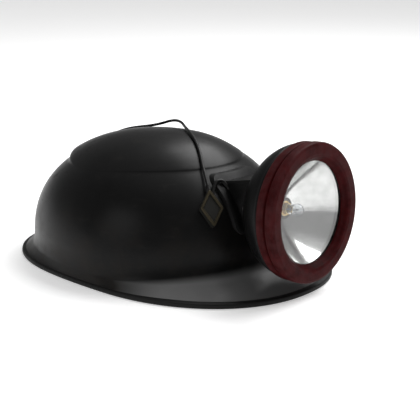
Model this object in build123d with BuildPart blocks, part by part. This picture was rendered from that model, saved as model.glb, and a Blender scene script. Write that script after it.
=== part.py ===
from build123d import *
import math
import os

os.makedirs("parts", exist_ok=True)

# ---- driving dimensions, millimetres ----
# +Z up, the lamp faces -Y, the wearer's right side is -X; the brim stands on z = 0.

# cap shell
WALL = 2.5                          # thickness of the moulded cap
DOME_Y = 11.0                       # fore-and-aft middle of the dome
DOME_HALF = 106.0                   # half width of the dome at its foot
DOME_FRONT = 107.0                  # from the middle to the foot at the forehead
DOME_REAR = 136.0                   # from the middle to the foot at the nape
DOME_FOOT = 16.0                    # height of the foot, where the brim starts
DOME_HIGH = 95.0                    # crown above the foot
ROUND_PLAN, ROUND_RISE = 2.08, 2.36  # fullness of the dome's section
PANEL_RAISE = 4.5                   # raised crown panel above the dome, at the crown
PANEL_Y, PANEL_HALF, PANEL_LONG = 26.0, 72.0, 82.0   # panel's oval outline

# brim and its edging
BRIM_HALF = 108.0                   # half width of the moulded brim
BRIM_Y = -6.0                       # fore-and-aft middle of the brim's outline
BRIM_FRONT_Y = -143.5               # edge of the peak
BRIM_REAR_Y = 152.3                 # edge at the nape
BRIM_WAIST = 1.5                    # how far the sides draw in above the ears
BRIM_TOP = 3.4                      # top of the brim's edge
TRIM_PROUD = 1.2                    # rubber edging outside the brim's edge
TRIM_IN = 4.0                       # rubber edging inside the brim's edge
TRIM_HIGH = 4.4

# headlamp
LAMP_TILT = 2.5                     # degrees the beam points up at rest
FACE_Y, FACE_Z = -151.0, 69.5       # centre of the bezel's front face
LAMP_R = 57.0                       # bezel's outer radius
BORE_R, BORE_SEAT_R = 44.3, 41.6    # bezel's flared mouth, at the front and at the glass
BEZEL_DEEP = 17.5
GLASS_AT, GLASS_THICK, GLASS_R = 6.0, 3.0, 51.3
SEAT_CLEAR = 0.03                   # the bezel turns on the glass with this much play
GASKET_THICK = 1.5
REFLECTOR_AT = GLASS_AT + GLASS_THICK + GASKET_THICK
REFLECTOR_DEEP = 25.0
COLLAR_R = 51.9                     # housing's threaded collar, a running fit in the bezel
COLLAR_CLEAR = 0.1
BOWL_R, BOWL_REAR_R = 55.0, 38.6    # housing behind the bezel and at its back
BOWL_AT, BOWL_END = 18.0, 45.5
PIVOT_AT = 55.0                     # tilt pin behind the front face
PIN_R, PIN_CLEAR = 2.5, 0.05
KNUCKLE_HALF, KNUCKLE_R = 7.9, 8.5
SWITCH_AT, SWITCH_ROOT, SWITCH_FACE = 29.0, 42.0, 54.5
KNOB_R, KNOB_DEEP, SHAFT_R = 8.0, 7.0, 2.5
LEAD_UP = 16.0                      # supply lead's entry above the beam

# bracket that carries the lamp on the cap
BRACKET_HALF = 19.0
CHEEK_GAP = 8.1                     # half gap between the cheeks
SCREW_X, SCREW_Z, SCREW_HOLE_R = 15.0, 10.0, 2.1     # screws through the shell into the bracket

# harness
BAND_Y, BAND_HALF, BAND_FRONT = 20.0, 80.0, 99.0
BAND_ARM_Y, BAND_REAR = 58.0, 62.0
BAND_LOW, BAND_HIGH, BAND_THICK = 8.0, 38.0, 2.0
NAPE_GAP = 0.4
STRAP_HALF, STRAP_THICK = 10.0, 1.6
STRAP_FOOT = 44.0

# cord
CORD_D = 2.5
COIL_D = 28.0                       # across the middle of the turns
COIL_WIDE, COIL_HIGH = 7.8, 10.4
COIL_X, COIL_Y = 60.0, 171.0


# ---- shared shapes ----
def dome_section(half, high, count=10):
    """Half section of a dome, from its foot at (half, 0) to its crown at (0, high)."""
    points = []
    for i in range(count + 1):
        turn = math.pi / 2 * i / count
        points.append((half * math.cos(turn) ** (2 / ROUND_PLAN), high * math.sin(turn) ** (2 / ROUND_RISE)))
    return points


def half_dome(half, length, high, skirt=10.0):
    """Rear half of a dome: turned, then stretched to its length; it stands on a short skirt."""
    with BuildPart() as end:
        with BuildSketch(Plane.XZ):
            with BuildLine():
                Spline(*dome_section(half, high), tangents=[(0, 1), (-1, 0)])
                Polyline((0, high), (0, -skirt), (half, -skirt), (half, 0))
            make_face()
        revolve(axis=Axis.Z, revolution_arc=180)
        scale(by=(1, length / half, 1))
    return end.part


def dome(half, front, rear, high, foot):
    """A solid dome over the cap's plan, with different lengths in front and behind."""
    front_end = half_dome(half, front, high)
    rear_end = half_dome(half, rear, high)
    with BuildPart() as whole:
        with Locations((0, DOME_Y, foot)):
            add(rear_end)
            add(front_end, rotation=(0, 0, 180))
    return whole.part


def inset_dome(inset):
    """The dome's surface moved in by inset at the sides and down by inset at the crown."""
    return dome(DOME_HALF - inset, DOME_FRONT - inset, DOME_REAR - inset, DOME_HIGH, DOME_FOOT - inset)


def brim_outline(share, inset=0.0, count=36):
    """Closed outline that runs from the dome's foot (share 0) to the brim's edge (share 1)."""
    points = []
    for i in range(count):
        turn = 2 * math.pi * i / count
        c, s = math.cos(turn), math.sin(turn)
        foot_length = DOME_REAR if s > 0 else DOME_FRONT
        foot = Vector((DOME_HALF - inset - 2) * c, DOME_Y + (foot_length - inset - 2) * s)
        full = 2.55 if s > 0 else 2.2
        reach = BRIM_REAR_Y - BRIM_Y if s > 0 else BRIM_Y - BRIM_FRONT_Y
        waist = BRIM_WAIST * math.exp(-((reach * s + BRIM_Y - 20) / 45) ** 2)
        edge = Vector(
            (BRIM_HALF - inset - waist) * math.copysign(abs(c) ** (2 / full), c),
            BRIM_Y + (reach - inset) * math.copysign(abs(s) ** (2 / full), s))
        point = foot + (edge - foot) * share
        points.append((point.X, point.Y))
    return points


def brim_solid(inset, lower):
    """Everything under the brim's upper surface, drawn in by inset and down by lower."""
    with BuildPart() as solid:
        for share in (0.0, 0.3, 0.65, 1.0):
            height = BRIM_TOP + (DOME_FOOT + 0.8 - BRIM_TOP) * (1 - share) ** 1.35
            with BuildSketch(Plane.XY.offset(height - lower)):
                with BuildLine():
                    Spline(*brim_outline(share, inset), periodic=True)
                make_face()
        loft()
        with BuildSketch(Plane.XY.offset(BRIM_TOP - lower)):
            with BuildLine():
                Spline(*brim_outline(1.0, inset), periodic=True)
            make_face()
        extrude(amount=-2.4)
    return solid.part


def keep(name, part):
    """Label a finished piece and write it."""
    part.label = name
    export_step(part, "parts/" + name + ".step")


outer_dome = inset_dome(0.0)
inner_dome = inset_dome(WALL)
panel_dome = dome(DOME_HALF - 8, DOME_FRONT - 6, DOME_REAR + 6, DOME_HIGH + PANEL_RAISE, DOME_FOOT)

def dome_face(x, z, length):
    """Fore-and-aft place of the dome's front (length below 0) or rear at a side offset and a height."""
    rise = ((z - DOME_FOOT) / DOME_HIGH) ** ROUND_RISE
    return DOME_Y + length * math.sqrt((1 - rise) ** (2 / ROUND_PLAN) - (x / DOME_HALF) ** 2)


def dome_plane(x, z, length, turn=0.0):
    """Plane tangent to the dome: local y runs up the dome, turned about its outward normal."""
    here = Vector(x, dome_face(x, z, length), z)
    side = math.copysign(1, -length)
    along = Vector(x + side, dome_face(x + side, z, length), z) - here
    up = Vector(x, dome_face(x, z + 1, length), z + 1) - here
    normal = along.cross(up).normalized()
    level = Vector(-normal.Y, normal.X, 0).normalized()
    return Plane(origin=here, x_dir=level.rotate(Axis((0, 0, 0), normal), turn), z_dir=normal)


TERMINAL = dome_plane(-40.2, 67.2, -DOME_FRONT, turn=-5.0)
TERMINAL_SCREWS = ((0, -11.2), (0, 11.2))
CLIP = dome_plane(23.2, 42.0, DOME_REAR)

# ---- cap shell: dome, raised crown panel and drooping brim, moulded in one ----
with BuildPart() as panel:
    with BuildSketch(Plane.XY.offset(60)):
        with Locations((0, PANEL_Y)):
            Ellipse(PANEL_HALF, PANEL_LONG)
    extrude(amount=80)
    add(panel_dome, mode=Mode.INTERSECT)

with BuildPart() as shell:
    add(outer_dome)
    add(brim_solid(0.0, 0.0))
    add(panel.part)
    add(inner_dome, mode=Mode.SUBTRACT)
    add(brim_solid(WALL, WALL), mode=Mode.SUBTRACT)
    with BuildSketch(Plane.XZ.offset(60)):
        with Locations((0, FACE_Z)):
            with GridLocations(2 * SCREW_X, 2 * SCREW_Z, 2, 2):
                Circle(SCREW_HOLE_R)
    extrude(amount=60, mode=Mode.SUBTRACT)
    with BuildSketch(TERMINAL.offset(4)):
        with Locations(*TERMINAL_SCREWS):
            Circle(1.2)
    extrude(amount=-14, mode=Mode.SUBTRACT)
    with BuildSketch(CLIP.offset(4)):
        Circle(1.7)
    extrude(amount=-14, mode=Mode.SUBTRACT)
keep("shell", shell.part)

# ---- rubber edging round the brim ----
with BuildPart() as brim_trim:
    for z, proud in ((0, 0.3), (0.7, 1.0), (1.6, TRIM_PROUD), (2.8, TRIM_PROUD), (3.7, 1.0), (TRIM_HIGH, 0.3)):
        with BuildSketch(Plane.XY.offset(z)):
            with BuildLine():
                Spline(*brim_outline(1.0, -proud), periodic=True)
            make_face()
    loft(ruled=True)
    with BuildSketch():
        with BuildLine():
            Spline(*brim_outline(1.0, TRIM_IN), periodic=True)
        make_face()
    extrude(amount=TRIM_HIGH, mode=Mode.SUBTRACT)
    add(shell.part, mode=Mode.SUBTRACT)
keep("brim_trim", brim_trim.part)


# ---- headlamp: every turned part is drawn in the plane (radius, depth behind the face) ----
def lamp_plane(side=0.0):
    """Plane through the beam axis: local x is radius (upwards), local y is depth."""
    tilt = math.radians(LAMP_TILT)
    up = Vector(0, math.sin(tilt), math.cos(tilt))
    return Plane(origin=(side, FACE_Y, FACE_Z), x_dir=up, z_dir=(-1, 0, 0))


LAMP = lamp_plane()
BEAM = Axis(LAMP.origin, LAMP.y_dir)
PIVOT = LAMP.from_local_coords((0, PIVOT_AT, 0))


def turned(*points):
    """A ring or disc turned about the beam axis from its half section."""
    with BuildPart() as ring:
        with BuildSketch(LAMP):
            with BuildLine():
                Polyline(*points, close=True)
            make_face()
        revolve(axis=BEAM)
    return ring.part


def across_lamp(depth):
    """Plane square to the beam at a depth, looking backwards; local y is up."""
    return Plane(origin=LAMP.from_local_coords((0, depth, 0)), x_dir=(-1, 0, 0), z_dir=LAMP.y_dir)


def lead(points, radii, radius=0.9):
    """A round lead or wire along straight runs joined by arcs."""
    with BuildPart() as wire:
        with BuildLine() as route:
            FilletPolyline(*points, radius=radii)
        with BuildSketch(Plane(origin=route.line @ 0, z_dir=route.line % 0)):
            Circle(radius)
        sweep()
    return wire.part


def in_lamp(side, up, depth):
    """A point in the lamp: x from the middle, height above the beam, depth behind the face."""
    return LAMP.from_local_coords((up, depth, 0)) + Vector(side, 0, 0)


# screw-on bezel: flared mouth, front lip, groove and rear grip band
with BuildPart() as bezel:
    with BuildSketch(LAMP):
        with BuildLine():
            Polyline(
                (BORE_SEAT_R, GLASS_AT - SEAT_CLEAR), (BORE_R, 2.2), (BORE_R + 1.2, 0.8), (BORE_R + 3.4, 0),
                (LAMP_R - 2.6, 0), (LAMP_R - 0.8, 0.8), (LAMP_R, 2.6), (LAMP_R, 7.4), (LAMP_R - 0.5, 8.2),
                (LAMP_R - 1.7, 8.6), (LAMP_R - 1.7, 9.6), (LAMP_R - 0.9, 10.2), (LAMP_R - 0.6, 11.0),
                (LAMP_R - 0.6, 16.4), (LAMP_R - 1.4, BEZEL_DEEP), (COLLAR_R + COLLAR_CLEAR, BEZEL_DEEP),
                (COLLAR_R + COLLAR_CLEAR, GLASS_AT - SEAT_CLEAR), close=True)
        make_face()
    revolve(axis=BEAM)
keep("bezel", bezel.part)

with BuildPart() as lens_glass:
    add(turned((0, GLASS_AT), (GLASS_R - 0.4, GLASS_AT), (GLASS_R, GLASS_AT + 0.4),
               (GLASS_R, GLASS_AT + GLASS_THICK - 0.4), (GLASS_R - 0.4, GLASS_AT + GLASS_THICK),
               (0, GLASS_AT + GLASS_THICK)))
keep("lens_glass", lens_glass.part)

with BuildPart() as lens_gasket:
    add(turned((44.2, GLASS_AT + GLASS_THICK), (GLASS_R, GLASS_AT + GLASS_THICK),
               (GLASS_R, REFLECTOR_AT), (44.2, REFLECTOR_AT)))
keep("lens_gasket", lens_gasket.part)

# spun reflector: flange, deep bowl and a short neck for the bulb holder
REFLECTOR_R, REFLECTOR_WALL, NECK_R = 42.6, 0.8, 9.0
BOWL_CURVE = REFLECTOR_DEEP / (REFLECTOR_R ** 2 - NECK_R ** 2)
REFLECTOR_FLOOR = REFLECTOR_AT + REFLECTOR_WALL + REFLECTOR_DEEP


def bowl_point(radius, out=0.0):
    """Point of the reflector's parabola, moved back by out."""
    return (radius, REFLECTOR_AT + BOWL_CURVE * (REFLECTOR_R ** 2 - radius ** 2) + out)


with BuildPart() as reflector:
    with BuildSketch(LAMP):
        with BuildLine():
            inside = [bowl_point(r) for r in (REFLECTOR_R, 36, 28, 20, 14, NECK_R)]
            outside = [bowl_point(r, 1.3) for r in (NECK_R + REFLECTOR_WALL, 14, 20, 28, 36, REFLECTOR_R)]
            Spline(*inside)
            Polyline(inside[-1], (NECK_R, REFLECTOR_FLOOR + 5),
                     (NECK_R + REFLECTOR_WALL, REFLECTOR_FLOOR + 5), outside[0])
            Spline(*outside)
            Polyline(outside[-1], (REFLECTOR_R + 1.6, REFLECTOR_AT + 1.0), (GLASS_R, REFLECTOR_AT + 1.0),
                     (GLASS_R, REFLECTOR_AT), inside[0])
        make_face()
    revolve(axis=BEAM)
keep("reflector", reflector.part)

# bulb: hollow glass, turned brass cap with its flange, and a filament bridging two posts
BULB_R, BULB_AT = 5.6, 21.0
CAP_R, CAP_AT = 4.6, 30.0
BULB_BORE_R, NECK_OUT, NECK_IN = BULB_R - 0.7, CAP_R - 0.6, CAP_R - 1.3
with BuildPart() as bulb_glass:
    with BuildSketch(LAMP):
        with BuildLine():
            outer_neck = (NECK_OUT, BULB_AT + math.sqrt(BULB_R ** 2 - NECK_OUT ** 2))
            inner_neck = (NECK_IN, BULB_AT + math.sqrt(BULB_BORE_R ** 2 - NECK_IN ** 2))
            ThreePointArc((0, BULB_AT - BULB_R), (BULB_R, BULB_AT), outer_neck)
            Polyline(outer_neck, (NECK_OUT, CAP_AT + 2), (NECK_IN, CAP_AT + 2), inner_neck)
            ThreePointArc(inner_neck, (BULB_BORE_R, BULB_AT), (0, BULB_AT - BULB_BORE_R))
            Line((0, BULB_AT - BULB_BORE_R), (0, BULB_AT - BULB_R))
        make_face()
    revolve(axis=BEAM)
keep("bulb_glass", bulb_glass.part)

with BuildPart() as bulb_cap:
    add(turned((0, CAP_AT + 2), (CAP_R - 0.6, CAP_AT + 2), (CAP_R - 0.6, CAP_AT - 0.8), (CAP_R, CAP_AT - 0.8),
               (CAP_R, CAP_AT + 2.6), (6.2, CAP_AT + 2.6), (6.2, CAP_AT + 3.8), (CAP_R, CAP_AT + 3.8),
               (CAP_R, CAP_AT + 9), (CAP_R - 1, CAP_AT + 9.6), (0, CAP_AT + 9.6)))
keep("bulb_cap", bulb_cap.part)

POST_X = 1.9
with BuildPart() as bulb_filament:
    add(lead([in_lamp(-POST_X, 0, CAP_AT + 2), in_lamp(-POST_X, 0, BULB_AT), in_lamp(POST_X, 0, BULB_AT),
              in_lamp(POST_X, 0, CAP_AT + 2)], 0.6, 0.3))
keep("bulb_filament", bulb_filament.part)

# bulb holder gripping the reflector's neck, with its contact disc behind
HOLDER_END = REFLECTOR_FLOOR + 6.2
with BuildPart() as bulb_holder:
    add(turned((6.3, REFLECTOR_FLOOR - 3.2), (NECK_R, REFLECTOR_FLOOR - 3.2), (NECK_R, REFLECTOR_FLOOR + 5),
               (NECK_R + 3, REFLECTOR_FLOOR + 5), (NECK_R + 3, HOLDER_END), (CAP_R + 0.1, HOLDER_END),
               (CAP_R + 0.1, CAP_AT + 3.9), (6.3, CAP_AT + 3.9)))
keep("bulb_holder", bulb_holder.part)

with BuildPart() as bulb_contact:
    add(turned((0, CAP_AT + 9.6), (3.9, CAP_AT + 9.6), (3.9, CAP_AT + 10.4), (1.3, CAP_AT + 10.4),
               (1.3, HOLDER_END + 0.4), (0, HOLDER_END + 0.4)))
keep("bulb_contact", bulb_contact.part)

# bowl-shaped housing: threaded collar, seat for the bezel, bowl, and a knuckle for the tilt pin
COLLAR_BORE_R = 47.5
with BuildPart() as lamp_housing:
    with BuildSketch(LAMP):
        with BuildLine():
            Polyline((0, BOWL_END), (BOWL_REAR_R - 3, BOWL_END), (BOWL_REAR_R, BOWL_END - 1.4))
            ThreePointArc((BOWL_REAR_R, BOWL_END - 1.4), (49.6, 33.0), (BOWL_R, BOWL_AT + 1.5))
            Polyline((BOWL_R, BOWL_AT + 1.5), (BOWL_R - 0.8, BOWL_AT), (COLLAR_R, BOWL_AT),
                     (COLLAR_R, REFLECTOR_AT + 1.0), (COLLAR_BORE_R, REFLECTOR_AT + 1.0), (COLLAR_BORE_R, 27.0))
            ThreePointArc((COLLAR_BORE_R, 27.0), (44.4, 35.0), (BOWL_REAR_R - 3.5, BOWL_END - 2.6))
            Polyline((BOWL_REAR_R - 3.5, BOWL_END - 2.6), (0, BOWL_END - 2.6), (0, BOWL_END))
        make_face()
    revolve(axis=BEAM)
    # knuckle
    with BuildSketch(lamp_plane(KNUCKLE_HALF)):
        with Locations((0, PIVOT_AT)):
            Circle(KNUCKLE_R)
        with BuildLine():
            Polyline((-10, BOWL_END - 1), (10, BOWL_END - 1), (10, BOWL_END + 1), (KNUCKLE_R - 0.4, PIVOT_AT - 2),
                     (KNUCKLE_R, PIVOT_AT), (-KNUCKLE_R, PIVOT_AT), (0.4 - KNUCKLE_R, PIVOT_AT - 2),
                     (-10, BOWL_END + 1), close=True)
        make_face()
    extrude(amount=2 * KNUCKLE_HALF)
    with BuildSketch(lamp_plane(KNUCKLE_HALF)):
        with Locations((0, PIVOT_AT)):
            Circle(PIN_R + PIN_CLEAR)
    extrude(amount=2 * KNUCKLE_HALF, mode=Mode.SUBTRACT)
    # boss for the switch on the wearer's left side, and its shaft hole
    with BuildSketch(lamp_plane(SWITCH_FACE)):
        with Locations((0, SWITCH_AT)):
            Circle(9)
    extrude(amount=SWITCH_FACE - SWITCH_ROOT)
    with BuildSketch(lamp_plane(SWITCH_FACE)):
        with Locations((0, SWITCH_AT)):
            Circle(SHAFT_R + 0.05)
    extrude(amount=SWITCH_FACE - SWITCH_ROOT + 5, mode=Mode.SUBTRACT)
    # lead entry above the knuckle
    with BuildSketch(across_lamp(BOWL_END - 5)):
        with Locations((0, LEAD_UP)):
            Circle(2.0)
    extrude(amount=8, mode=Mode.SUBTRACT)
keep("lamp_housing", lamp_housing.part)

# rotary switch: fluted knob on a shaft, with a contact block inside the housing
with BuildPart() as switch_knob:
    with BuildSketch(lamp_plane(SWITCH_FACE + 0.4 + KNOB_DEEP)):
        with Locations((0, SWITCH_AT)):
            Circle(KNOB_R)
            with PolarLocations(KNOB_R + 0.5, 14):
                Circle(1.1, mode=Mode.SUBTRACT)
    extrude(amount=KNOB_DEEP)
    with BuildSketch(lamp_plane(SWITCH_FACE + 0.4 + KNOB_DEEP + 1.6)):
        with Locations((0, SWITCH_AT)):
            Rectangle(2 * KNOB_R - 4, 3)
    extrude(amount=1.6)
    with BuildSketch(lamp_plane(SWITCH_FACE + 0.4)):
        with Locations((0, SWITCH_AT)):
            Circle(SHAFT_R)
    extrude(amount=SWITCH_FACE + 0.4 - SWITCH_ROOT + 3)
keep("switch_knob", switch_knob.part)

with BuildPart() as switch_block:
    with BuildSketch(lamp_plane(SWITCH_ROOT - 0.1)):
        with Locations((0, SWITCH_AT)):
            Rectangle(15, 8)
            Circle(SHAFT_R + 0.3, mode=Mode.SUBTRACT)
    extrude(amount=4)
keep("switch_block", switch_block.part)

# supply lead inside the housing, from its rear entry to the switch
with BuildPart() as supply_lead:
    add(lead([in_lamp(0, LEAD_UP, 49.0), in_lamp(0, LEAD_UP, 40.4), in_lamp(8, LEAD_UP, 38.6),
              in_lamp(20, 12, 38.6), in_lamp(30, 4, 33.5), in_lamp(SWITCH_ROOT - 4.5, 3.0, SWITCH_AT + 1.5)],
             [1.6, 4.0, 4.0, 2.5]))
keep("supply_lead", supply_lead.part)

# ---- bracket on the cap: saddle on the shell, block with a hood, and two cheeks for the tilt pin ----
PY, PZ = PIVOT.Y, PIVOT.Z
SADDLE_HALF, SADDLE_HIGH, SADDLE_Z, SADDLE_THICK = 27.0, 46.0, 68.0, 2.5

with BuildPart() as bracket_block:
    with BuildSketch(Plane.YZ.offset(-BRACKET_HALF)):
        with BuildLine():
            Polyline((-50, 50), (PY - 6.5, 50), (PY - 8, PZ - 4), (PY - 8, PZ + 4), (PY - 2.5, PZ + 24.5),
                     (-60, PZ + 17), (-50, PZ + 17), close=True)
        make_face()
    extrude(amount=2 * BRACKET_HALF)
    side_edges = bracket_block.faces().filter_by(Axis.X).edges()
    chamfer(side_edges.filter_by(lambda edge: edge.center().Y < -65), 1.8)

with BuildPart() as lamp_bracket:
    add(inset_dome(-SADDLE_THICK))
    with BuildSketch(Plane.XZ.offset(30)):
        with Locations((0, SADDLE_Z)):
            RectangleRounded(2 * SADDLE_HALF, SADDLE_HIGH, 8)
    extrude(amount=100, mode=Mode.INTERSECT)
    add(bracket_block.part)
    add(outer_dome, mode=Mode.SUBTRACT)
    # slot between the cheeks, and the lead's channel above it
    with BuildSketch(Plane.XZ.offset(-PY - 9.2)):
        with Locations((0, PZ + 11.5)):
            Rectangle(2 * CHEEK_GAP, 60, align=(Align.CENTER, Align.MAX))
        with Locations((0, PZ)):
            Rectangle(6.4, 20, align=(Align.CENTER, Align.MIN))
    extrude(amount=40, mode=Mode.SUBTRACT)
    # tilt pin's hole and the four screw holes
    with BuildSketch(Plane.YZ.offset(-BRACKET_HALF - 1)):
        with Locations((PY, PZ)):
            Circle(PIN_R + PIN_CLEAR)
    extrude(amount=2 * BRACKET_HALF + 2, mode=Mode.SUBTRACT)
    with BuildSketch(Plane.XZ.offset(55)):
        with Locations((0, FACE_Z)):
            with GridLocations(2 * SCREW_X, 2 * SCREW_Z, 2, 2):
                Circle(SCREW_HOLE_R)
    extrude(amount=42, mode=Mode.SUBTRACT)
keep("lamp_bracket", lamp_bracket.part)

# backing plate inside the shell, with a flat boss under each screw head
BOSS_R = 4.2
BOSS_FACES = {FACE_Z - SCREW_Z: -77.6, FACE_Z + SCREW_Z: -59.7}
with BuildPart() as bracket_plate:
    with BuildSketch(Plane.XZ.offset(30)):
        with Locations((0, FACE_Z)):
            RectangleRounded(44, 36, 6)
    extrude(amount=100)
    add(inset_dome(WALL + 2), mode=Mode.SUBTRACT)
    for height, face in BOSS_FACES.items():
        with BuildSketch(Plane.XZ.offset(-face)):
            with Locations((-SCREW_X, height), (SCREW_X, height)):
                Circle(BOSS_R)
        extrude(amount=25)
    add(inner_dome, mode=Mode.INTERSECT)
    with BuildSketch(Plane.XZ.offset(30)):
        with Locations((0, FACE_Z)):
            with GridLocations(2 * SCREW_X, 2 * SCREW_Z, 2, 2):
                Circle(SCREW_HOLE_R)
    extrude(amount=100, mode=Mode.SUBTRACT)
keep("bracket_plate", bracket_plate.part)

with BuildPart() as bracket_screws:
    for height, face in BOSS_FACES.items():
        with BuildSketch(Plane.XZ.offset(-face)):
            with Locations((-SCREW_X, height), (SCREW_X, height)):
                Circle(2.0)
        extrude(amount=96 + face)
        with BuildSketch(Plane.XZ.offset(-face)):
            with Locations((-SCREW_X, height), (SCREW_X, height)):
                Circle(3.8)
        extrude(amount=-2.4)
        with BuildSketch(Plane.XZ.offset(-face - 2.4)):
            with Locations((-SCREW_X, height), (SCREW_X, height)):
                Rectangle(5.6, 0.9)
                Rectangle(0.9, 5.6)
        extrude(amount=1.2, mode=Mode.SUBTRACT)
keep("bracket_screws", bracket_screws.part)

# tilt pin across the cheeks, and its nut
with BuildPart() as tilt_pin:
    with BuildSketch(Plane.YZ.offset(-BRACKET_HALF)):
        with Locations((PY, PZ)):
            Circle(PIN_R)
    extrude(amount=2 * BRACKET_HALF + 4.4)
    with BuildSketch(Plane.YZ.offset(-BRACKET_HALF - 2.4)):
        with Locations((PY, PZ)):
            Circle(4.4)
    extrude(amount=2.4)
    chamfer(tilt_pin.edges().group_by(Axis.X)[0], 0.7)
keep("tilt_pin", tilt_pin.part)

with BuildPart() as tilt_nut:
    with BuildSketch(Plane.YZ.offset(BRACKET_HALF)):
        with Locations((PY, PZ)):
            RegularPolygon(4.4, 6)
            Circle(PIN_R, mode=Mode.SUBTRACT)
    extrude(amount=3.2)
keep("tilt_nut", tilt_nut.part)


# ---- cord terminal beside the bracket: a diamond-shaped box lying on the dome ----
DIAMOND_WIDE, DIAMOND_LONG = 20.4, 33.4
BOX_TOP, COVER_THICK, RIM_WIDE, RIM_PROUD = 2.4, 1.0, 2.5, 1.0
GLAND_FROM, GLAND_TO, GLAND_LIFT = 13.0, 20.0, 1.5


def diamond(inset=0.0):
    """The terminal's outline, a diamond with rounded corners, drawn in by inset."""
    with BuildSketch(mode=Mode.PRIVATE) as outline:
        with BuildLine():
            Polyline((DIAMOND_WIDE / 2, 0), (0, DIAMOND_LONG / 2), (-DIAMOND_WIDE / 2, 0),
                     (0, -DIAMOND_LONG / 2), close=True)
        make_face()
        fillet(outline.vertices(), 1.6)
        if inset:
            offset(amount=-inset)
    return outline.sketch


with BuildPart() as terminal_box:
    with BuildSketch(TERMINAL.offset(-7)):
        add(diamond())
    extrude(amount=7 + BOX_TOP)
    add(outer_dome, mode=Mode.SUBTRACT)
    with BuildSketch(TERMINAL.offset(BOX_TOP)):
        add(diamond(RIM_WIDE + 1.2))
    extrude(amount=-BOX_TOP + 0.6, mode=Mode.SUBTRACT)
    with BuildSketch(TERMINAL.offset(BOX_TOP)):
        with Locations(*TERMINAL_SCREWS):
            Circle(1.1)
    extrude(amount=-14, mode=Mode.SUBTRACT)
keep("terminal_box", terminal_box.part)

with BuildPart() as terminal_cover:
    with BuildSketch(TERMINAL.offset(BOX_TOP)):
        add(diamond())
    extrude(amount=COVER_THICK)
keep("terminal_cover", terminal_cover.part)

with BuildPart() as terminal_rim:
    with BuildSketch(TERMINAL.offset(BOX_TOP + COVER_THICK)):
        add(diamond())
        add(diamond(RIM_WIDE), mode=Mode.SUBTRACT)
    extrude(amount=RIM_PROUD)
    chamfer(terminal_rim.faces().sort_by(Axis(TERMINAL.origin, TERMINAL.z_dir))[-1].edges(), 0.4)
keep("terminal_rim", terminal_rim.part)

# screws from inside the shell, threaded into the box
with BuildPart() as terminal_screws:
    with BuildSketch(TERMINAL.offset(-2.4)):
        with Locations(*TERMINAL_SCREWS):
            Circle(2.3)
    extrude(amount=-3.0)
    add(inner_dome, mode=Mode.INTERSECT)
    with BuildSketch(TERMINAL.offset(-5.4)):
        with Locations(*TERMINAL_SCREWS):
            Circle(1.1)
    extrude(amount=5.4 + BOX_TOP)
keep("terminal_screws", terminal_screws.part)

# moulded gland at the diamond's upper corner
with BuildPart() as cord_gland:
    for along, radius in ((GLAND_FROM, 2.3), (GLAND_FROM + 3.4, 2.3), (GLAND_TO, 1.8)):
        with BuildSketch(Plane(origin=TERMINAL.from_local_coords((0, along, GLAND_LIFT)),
                               x_dir=TERMINAL.x_dir, z_dir=TERMINAL.y_dir)):
            Circle(radius)
    loft(ruled=True)
    add(terminal_box.part, mode=Mode.SUBTRACT)
    add(terminal_cover.part, mode=Mode.SUBTRACT)
    add(terminal_rim.part, mode=Mode.SUBTRACT)
    with BuildSketch(TERMINAL.offset(0.3)):
        add(diamond(0.5))
    extrude(amount=3, mode=Mode.SUBTRACT)
keep("cord_gland", cord_gland.part)

# sheathed lead from the terminal over into the bracket
with BuildPart() as feed_lead:
    add(lead([(-35.9, -71.4, 75.6), (-30.8, -69.4, 82.3), (-26.2, -68.4, 87.6), (-21.2, -70.4, 87.4),
              (-18.0, -75.0, 80.4)], [7.0, 4.2, 3.6], 1.5))
keep("feed_lead", feed_lead.part)


# ---- harness: headband, nape band and straps, hung from keys inside the shell ----
def band_region(half, front, arm_y, back=False):
    """Filled plan of a band: half an ellipse and straight arms that end at arm_y."""
    turn = 1 if back else -1
    middle = BAND_ARM_Y if back else BAND_Y
    with BuildSketch(mode=Mode.PRIVATE) as region:
        with Locations((0, middle)):
            Ellipse(half, front)
        with Locations((0, middle - turn * 100)):
            Rectangle(400, 200, mode=Mode.SUBTRACT)
        with Locations((0, (middle + arm_y) / 2)):
            Rectangle(2 * half, abs(arm_y - middle))
    return region.sketch


with BuildPart() as headband:
    with BuildSketch(Plane.XY.offset(BAND_LOW)):
        add(band_region(BAND_HALF, BAND_FRONT, BAND_ARM_Y))
        add(band_region(BAND_HALF - BAND_THICK, BAND_FRONT - BAND_THICK, BAND_ARM_Y + 1), mode=Mode.SUBTRACT)
    extrude(amount=BAND_HIGH - BAND_LOW)
keep("headband", headband.part)

SWEAT_GAP, SWEAT_THICK, SWEAT_END_Y = 0.3, 3.2, -5.0
sweat_out = BAND_THICK + SWEAT_GAP
with BuildPart() as sweatband:
    with BuildSketch(Plane.XY.offset(BAND_LOW + 1)):
        add(band_region(BAND_HALF - sweat_out, BAND_FRONT - sweat_out, BAND_Y + 1))
        sweat_in = sweat_out + SWEAT_THICK
        add(band_region(BAND_HALF - sweat_in, BAND_FRONT - sweat_in, BAND_Y + 2), mode=Mode.SUBTRACT)
        with Locations((0, SWEAT_END_Y)):
            Rectangle(400, 60, align=(Align.CENTER, Align.MIN), mode=Mode.SUBTRACT)
    extrude(amount=BAND_HIGH - BAND_LOW - 2)
keep("sweatband", sweatband.part)

NAPE_HALF = BAND_HALF - BAND_THICK - NAPE_GAP
NAPE_ARM_Y, NAPE_LOW, NAPE_TALL = 28.0, 8.4, 29.2
with BuildPart() as nape_band:
    with BuildSketch(Plane.XY.offset(NAPE_LOW)):
        add(band_region(NAPE_HALF, BAND_REAR, NAPE_ARM_Y, back=True))
        add(band_region(NAPE_HALF - BAND_THICK, BAND_REAR - BAND_THICK, NAPE_ARM_Y - 1, back=True),
            mode=Mode.SUBTRACT)
    extrude(amount=NAPE_TALL)
keep("nape_band", nape_band.part)

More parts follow.
